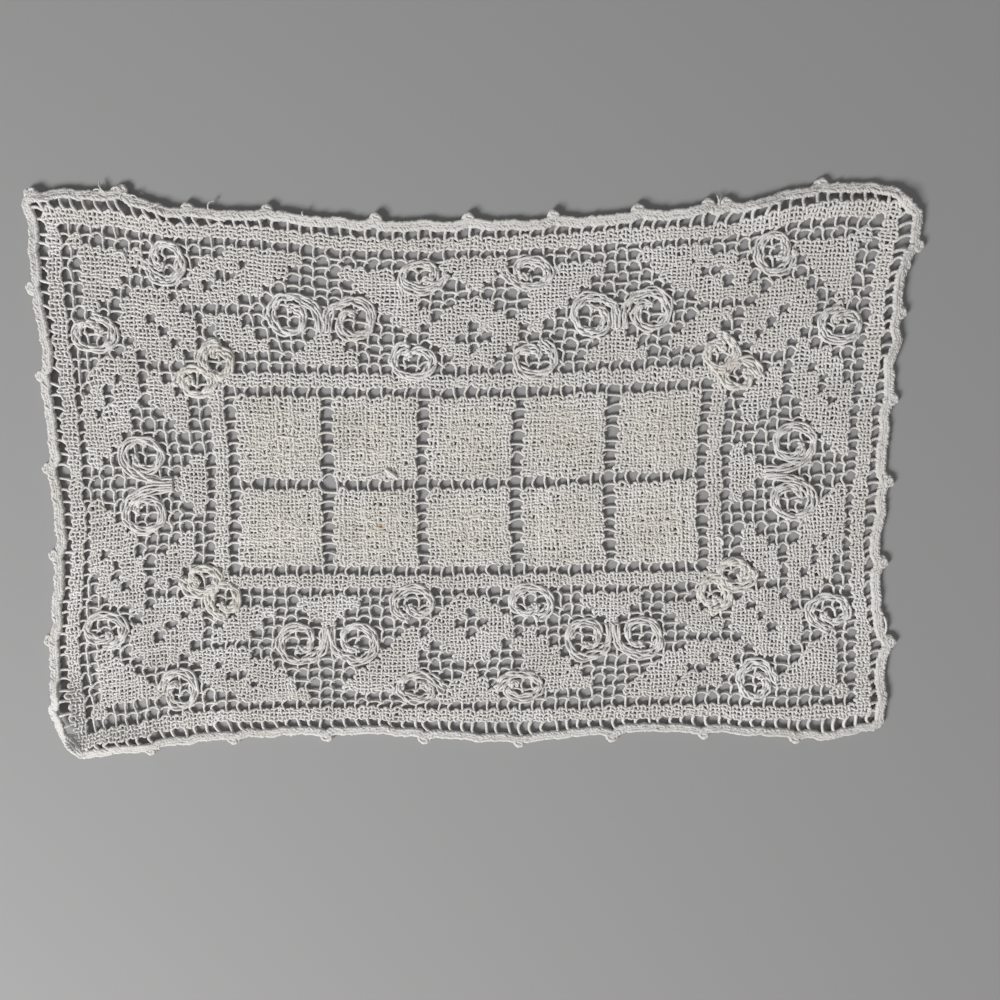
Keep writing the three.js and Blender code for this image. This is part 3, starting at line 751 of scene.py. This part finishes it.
def placedScrolls():  # each one mirrored into the four quarters
    for one in scrolls:
        ways = [one]
        if one["turned"]:
            ways.append({**one, "col": one["row"], "row": one["col"], "halfCols": one["halfRows"],
                         "halfRows": one["halfCols"], "start": 270 - one["start"], "way": -one["way"]})
        for own in ways:
            for mirrorCols in (False, True):
                for mirrorRows in (False, True):
                    half = dict(own)
                    if mirrorCols:
                        half.update({"col": lastCol - half["col"], "start": 180 - half["start"], "way": -half["way"]})
                    if mirrorRows:
                        half.update({"row": lastRow - half["row"], "start": -half["start"], "way": -half["way"]})
                    if own["foot"]:
                        foot = own["foot"]
                        half["foot"] = (lastCol - foot[0] if mirrorCols else foot[0],
                                        lastRow - foot[1] if mirrorRows else foot[1])
                    yield half


def stemWay(one):  # from the panel towards the nearest side
    col, row = one["foot"]
    ways = {min(row, lastRow - row): (0, 1 if row < lastRow / 2 else -1),
            min(col, lastCol - col): (-1 if col < lastCol / 2 else 1, 0)}
    return np.array(ways[min(ways)], float)


def wavy(turns, k):  # a wave of a few turns that starts anywhere
    return np.sin(2 * math.pi * (dice.uniform(*turns) * k + dice.random()))


def scrollPath(one):
    s = np.linspace(0, 1, scroll["steps"])
    angle = np.radians(one["start"] + one["way"] * scroll["sweep"] * s)
    inward = np.clip((s - scroll["turnIn"]) / (1 - scroll["turnIn"]), 0, 1)
    size = 1 - (1 - scroll["innerShare"]) * inward * inward * (3 - 2 * inward)
    spin = np.column_stack([np.cos(angle) * size * one["halfCols"] * net["meshWide"],
                            np.sin(angle) * size * one["halfRows"] * net["meshHigh"]])
    spin = spin + lay(one["col"], one["row"])
    leave = spin[0] - spin[1]
    leave = leave / np.linalg.norm(leave)
    if one["foot"]:  # a stem that curves up from the tip of a leaf
        foot = lay(*one["foot"])
        t = np.linspace(0, 1, scroll["stemSteps"], endpoint=False)[:, None]
        rising = spin[0] + leave * scroll["stemTurn"]
        upright = foot + stemWay(one) * scroll["stemRise"]
        tail = foot * (1 - t) ** 3 + 3 * upright * t * (1 - t) ** 2 + 3 * rising * t * t * (1 - t) + spin[0] * t ** 3
    else:
        tail = spin[0] + leave * np.linspace(one["tail"], scroll["tailGap"], scroll["tailSteps"])[:, None]
    middle = np.concatenate([tail, spin])
    run = np.gradient(middle, axis=0)
    run = run / np.linalg.norm(run, axis=1)[:, None]
    aside = np.column_stack([-run[:, 1], run[:, 0]])
    k = np.linspace(0, 1, len(middle))
    spread = 1 - scroll["close"] * k ** 2 + scroll["spread"] * wavy(scroll["spreadTurns"], k)
    passes = []
    for n, off in enumerate(scroll["passes"]):
        sway = scroll["wobble"] * wavy(scroll["wobbleTurns"], k)
        xy = middle + aside * (off * spread + sway + dice.normal(0, scroll["jitter"], len(k)))[:, None]
        rise = scroll["rise"] + scroll["wave"] * wavy(scroll["waveTurns"], k)
        there = np.column_stack([xy, rise])
        passes.append(there if n % 2 == 0 else there[::-1])
    whole = np.concatenate(passes)
    return stand(whole[:, :2], whole[:, 2])


scrollStrands = threadPiece("scroll_strands", darningThread, [
    {"points": scrollPath(one), "tone": dice.normal(*scroll["toneJitter"]), "cream": one["cream"],
     "girth": one["girth"]} for one in placedScrolls()], scroll["width"], scroll["sides"])

# crocheted edging: strands plaited over core threads, with picots and a few loose ends
edging = {
    "wide": {"far": 5.1, "near": 4.4, "left": 5.5, "right": 5.4},
    "inset": {"far": 0.15, "near": 0, "left": 0, "right": 0},
    "even": 25,  # points over which these change at a corner
    "tall": 2.2,
    "strands": 5,
    "turn": 8.2,  # mm in which a strand plaits from one side to the other and back
    "drift": 0.35,  # of that turn, in waves
    "driftTurns": (61, 97, 143),
    "width": 1.66,
    "sides": 4,
    "step": 0.7,
    "rise": 0.2,
    "lowest": -0.4,
    "acrossJitter": 0.18,
    "riseJitter": 0.1,
    "girthJitter": 0.14,
    "toneJitter": 0.4,
}
sideWide = np.array([edging["wide"][side] for side in rimSides])
sideInset = np.array([edging["inset"][side] for side in rimSides])
spots, _, out, at = evenly(rimMiddle, edging["step"])
nearby = [nearestOn(rimPoints, spot) for spot in spots]
n = edging["even"]
wide, inset = (np.convolve(np.concatenate([own[nearby][-n:], own[nearby], own[nearby][:n]]), np.ones(n) / n,
                           "same")[n:-n] for own in (sideWide, sideInset))
length = at[-1] + at[1]
turnsRound = round(length / edging["turn"])
drift = sum(edging["drift"] * np.sin(2 * math.pi * (turns * at / length + dice.random()))
            for turns in edging["driftTurns"])
cords = []
for strand in range(edging["strands"]):
    phase = 2 * math.pi * (turnsRound * at / length + strand / edging["strands"]) + drift
    across = (wide - edging["width"]) / 2 * np.sin(phase) - inset
    across = across + dice.normal(0, edging["acrossJitter"], len(at))
    rise = edging["rise"] + (edging["tall"] - edging["width"]) / 2 * np.sin(2 * phase)
    rise = np.maximum(rise + dice.normal(0, edging["riseJitter"], len(at)), edging["lowest"])
    cords.append({"points": stand(spots + out * across[:, None], rise), "closed": True,
                  "tone": dice.normal(0, edging["toneJitter"]),
                  "girth": 1 + np.clip(dice.normal(0, edging["girthJitter"], len(at)), -0.3, 0.3)})
edgingCord = threadPiece("edging_cord", edgingThread, cords, edging["width"], edging["sides"])

core = {"at": (-1.15, 0, 1.15), "rise": 0.12, "step": 1.5, "width": 2.1, "sides": 5, "jitter": 0.12,
        "girthJitter": 0.08, "tone": 0.2}
spots, _, out, at = evenly(rimMiddle, core["step"])
edgingCore = threadPiece("edging_core", edgingThread, [
    {"points": stand(spots + out * (off + dice.normal(0, core["jitter"], len(at)))[:, None], core["rise"]),
     "closed": True, "tone": core["tone"], "girth": 1 + dice.normal(0, core["girthJitter"], len(at))}
    for off in core["at"]], core["width"], core["sides"])

picot = {"rings": [{"out": -0.9, "size": 2.4, "tilt": 0.25}, {"out": -0.1, "size": 1.6, "tilt": -0.25},
                   {"out": 0.7, "size": 0.8, "tilt": 0.1}], "width": 1.9, "sides": 6, "steps": 10, "rise": 0.2,
         "flat": 0.6, "sizes": (0.9, 1.12), "lean": 0.3, "tone": 0.2}
loops = []
for spot in picotSpots:
    centre, way, beyond = rimMiddle[spot], rimRun[spot], rimOut[spot]
    nearest = nearestOn(rimPoints, centre)
    foot = sideWide[nearest] / 2 - sideInset[nearest]
    lean = dice.normal(0, picot["lean"])
    for one in picot["rings"]:
        angle = np.linspace(0, 2 * math.pi, picot["steps"], endpoint=False)
        size = one["size"] * dice.uniform(*picot["sizes"])
        xy = centre + beyond * (foot + one["out"] + picot["flat"] * size * np.sin(angle))[:, None]
        xy = xy + way * (lean * one["out"] + size * np.cos(angle))[:, None]
        loops.append({"points": stand(xy, picot["rise"] + one["tilt"] * np.cos(angle)), "closed": True,
                      "tone": picot["tone"]})
edgingPicots = threadPiece("edging_picots", edgingThread, loops, picot["width"], picot["sides"])


def paced(heading, length):  # the steps of a strand that turns as it goes
    return np.column_stack([np.cos(heading), np.sin(heading)]) * length / len(heading)


looseEnds = listed(  # broken ends of thread on the far rim, in meshes along it, mm and degrees
    "station out turn bend length", (5.9, 1.2, 150, -60, 6), (5.6, 1.0, 120, 90, 5), (6.3, 1.6, 70, -150, 6),
    (6.7, 1.2, 100, -200, 6), (7.3, 1.4, 150, 160, 6), (7.6, 0.8, 40, -110, 5), (14.5, 1.2, 120, -110, 6),
    (21.7, 1.6, 120, -60, 2.5), (54.5, 1.6, 80, 30, 5), (54.8, 1.6, 95, -40, 4.5))
looseEnd = {"steps": 12, "rise": 0.7, "arch": 0.6, "taper": 0.4, "tone": 0.6, "width": 1.0, "sides": 5}
ends = []
for one in looseEnds:
    spot = rimSpot("far", one["station"])
    t = np.linspace(0, 1, looseEnd["steps"])
    way = paced(np.radians(one["turn"] + one["bend"] * t), one["length"])
    xy = rimMiddle[spot] + rimOut[spot] * one["out"] + np.cumsum(way, axis=0)
    ends.append({"points": stand(xy, looseEnd["rise"] + looseEnd["arch"] * np.sin(math.pi * t)),
                 "girth": 1 - looseEnd["taper"] * t, "tone": looseEnd["tone"]})
edgingEnds = threadPiece("edging_ends", edgingThread, ends, looseEnd["width"], looseEnd["sides"])

# strands rubbed up on each darned square
felt = {"squares": (5, 2), "count": 100, "reach": 9, "farthest": 16, "length": (3, 8), "turnJitter": 0.35,
        "bend": 0.5, "rise": (0.45, 0.16), "tone": (0.4, 0.5), "cream": 0.25, "girthJitter": 0.15, "width": 0.75,
        "sides": 4, "steps": 5}
t = np.linspace(0, 1, felt["steps"])
strands = []
for over, down in np.ndindex(felt["squares"]):
    middle = lay(*(panel["firstLine"] + panel["every"] * (n + 0.5) for n in (over, down)))
    for n in range(felt["count"]):
        heading = dice.integers(0, 4) * math.pi / 2 + dice.normal(0, felt["turnJitter"])
        way = paced(heading + dice.normal(0, felt["bend"]) * t, dice.uniform(*felt["length"]))
        start = middle + np.clip(dice.normal(0, felt["reach"], 2), -felt["farthest"], felt["farthest"])
        xy = start + np.cumsum(way - way.mean(0) / 2, axis=0)
        strands.append({"points": stand(xy, felt["rise"][0] + dice.normal(0, felt["rise"][1], len(t))),
                        "tone": dice.normal(*felt["tone"]), "cream": felt["cream"],
                        "girth": 1 + dice.normal(0, felt["girthJitter"], len(t))})
feltedStrands = threadPiece("felted_strands", darningThread, strands, felt["width"], felt["sides"])

strayStrands = listed(  # bits of darning thread that have come up, in mm and degrees
    "x y turn bend length girth", (-54, -0.2, 8, 14, 10, 1.0), (-43.5, 3.9, -28, -15, 7.5, 1.7),
    (-42.5, 2.6, -45, 15, 5, 1.3), (-43, -9.6, 25, -30, 6, 0.8), (-95, 19.6, -2, -8, 10, 0.8),
    (-170, 103, 50, -90, 8, 1.0), (-166, 106, -30, -70, 7, 1.0), (118, -33, 70, 120, 7, 1.0),
    (196.3, -66.5, -62, -45, 10, 1.0))
stray = {"steps": 14, "rise": 0.6, "arch": 0.3, "tone": 1.0, "width": 1.1, "sides": 6}
t = np.linspace(0, 1, stray["steps"])
lumpy = 0.75 + 0.35 * np.sin(math.pi * t) + 0.15 * np.sin(11 * t)  # thin at the ends and uneven
strays = []
for one in strayStrands:
    way = paced(np.radians(one["turn"] + one["bend"] * t), one["length"])
    xy = [one["x"], one["y"]] + np.cumsum(way, axis=0)
    strays.append({"points": stand(xy, stray["rise"] + stray["arch"] * np.sin(math.pi * t)),
                   "girth": one["girth"] * lumpy, "tone": stray["tone"]})
looseStrands = threadPiece("loose_strands", darningThread, strays, stray["width"], stray["sides"])

pieces = [lengthwiseNet, crosswiseNet, netKnots, darnedSquares, darnedLeaves, darnedBands, scrollStrands,
          edgingCord, edgingCore, edgingPicots, edgingEnds, feltedStrands, looseStrands]
for piece in pieces:
    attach(piece, "root")
    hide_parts("filet_lace")
print("pieces on the root body:", len(pieces))

# floor, light and camera
studio = {"floorHex": "#9c9b9b", "floorRoughness": 0.9, "floorSide": 3.0, "worldHex": "#ffffff",
          "worldStrength": 0.16}
floorMaterial = bpy.data.materials.new("paleBoard")  # a plain matt board
floorMaterial.use_nodes = True
floorShader = floorMaterial.node_tree.nodes["Principled BSDF"]
floorShader.inputs["Base Color"].default_value = hexColour(studio["floorHex"])
floorShader.inputs["Roughness"].default_value = studio["floorRoughness"]
floorMesh = bpy.data.meshes.new("floor")
half = studio["floorSide"] / 2
floorMesh.from_pydata([(-half, -half, 0), (half, -half, 0), (half, half, 0), (-half, half, 0)], [], [(0, 1, 2, 3)])
floorMesh.materials.append(floorMaterial)
floor = bpy.data.objects.new("floor", floorMesh)
scene.collection.objects.link(floor)

world = bpy.data.worlds.new("studio")
world.use_nodes = True
sky = world.node_tree.nodes["Background"]
sky.inputs["Color"].default_value = hexColour(studio["worldHex"])
sky.inputs["Strength"].default_value = studio["worldStrength"]
scene.world = world
scene.view_settings.view_transform = "Standard"

lights = listed("name at size watts", ("key", (-1.12, -1.12, 1.1), 0.6, 43), ("fill", (0.6, 0.5, 1.6), 1.6, 3.5))
for one in lights:
    lamp = bpy.data.lights.new(one["name"], "AREA")
    lamp.size = one["size"]
    lamp.energy = one["watts"]
    lampObject = bpy.data.objects.new(one["name"], lamp)
    lampObject.location = one["at"]
    lampObject.rotation_euler = (-Vector(one["at"])).to_track_quat("-Z", "Y").to_euler()
    scene.collection.objects.link(lampObject)

shot = {"aim": (11.5, -11.0), "distance": 360, "tilt": 4.0, "lens": 27}
aim = Vector((shot["aim"][0], shot["aim"][1], 0)) * mm
tilt = math.radians(shot["tilt"])
camera = bpy.data.cameras.new("camera")
camera.lens = shot["lens"]
camera.clip_start = 0.01
cameraObject = bpy.data.objects.new("camera", camera)
cameraObject.location = aim + Vector((0, math.sin(tilt), math.cos(tilt))) * shot["distance"] * mm
cameraObject.rotation_euler = (-tilt, 0, 0)
scene.collection.objects.link(cameraObject)
scene.camera = cameraObject
print("stage set: floor,", len(lights), "lights and a camera")

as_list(pieces[1:])
